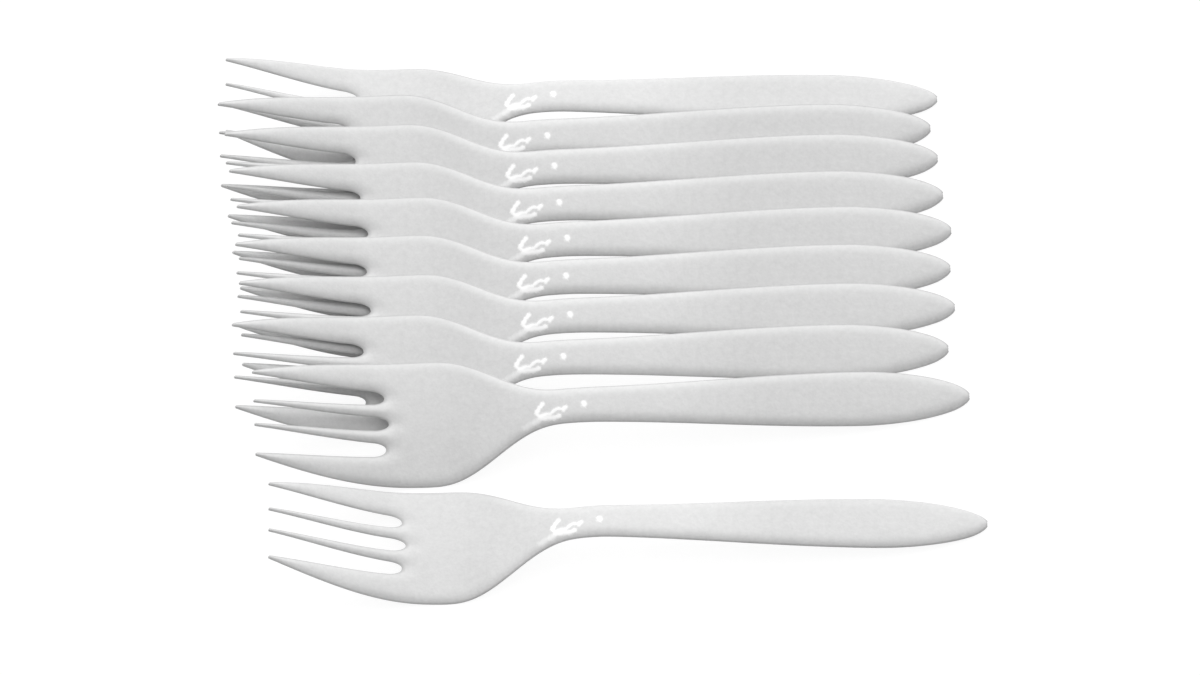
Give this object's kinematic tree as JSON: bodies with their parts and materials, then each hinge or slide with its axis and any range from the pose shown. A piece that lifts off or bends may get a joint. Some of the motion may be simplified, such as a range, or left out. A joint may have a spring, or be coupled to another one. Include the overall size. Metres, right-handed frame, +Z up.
{
  "type": "pack of plastic forks",
  "caption": "Set of white disposable four-tined plastic forks: an overlapping row with the handles all one way, and a single fork lying apart in front.",
  "frame": {"origin": "bottom centre of the whole set's bounding box, on the table that the forks lie on", "axes": "+X towards the handles' ends, -X towards the tines, -Y towards the single fork in front, +Z up"},
  "size_m": [0.176, 0.1474, 0.0232],
  "materials": {
    "white_plastic": "satin white moulded polystyrene"
  },
  "bodies": {
    "root": {"fork_01": "white_plastic", "fork_02": "white_plastic", "fork_03": "white_plastic", "fork_04": "white_plastic", "fork_05": "white_plastic", "fork_06": "white_plastic", "fork_07": "white_plastic", "fork_08": "white_plastic", "fork_09": "white_plastic", "fork_10": "white_plastic"}
  },
  "joints": []
}
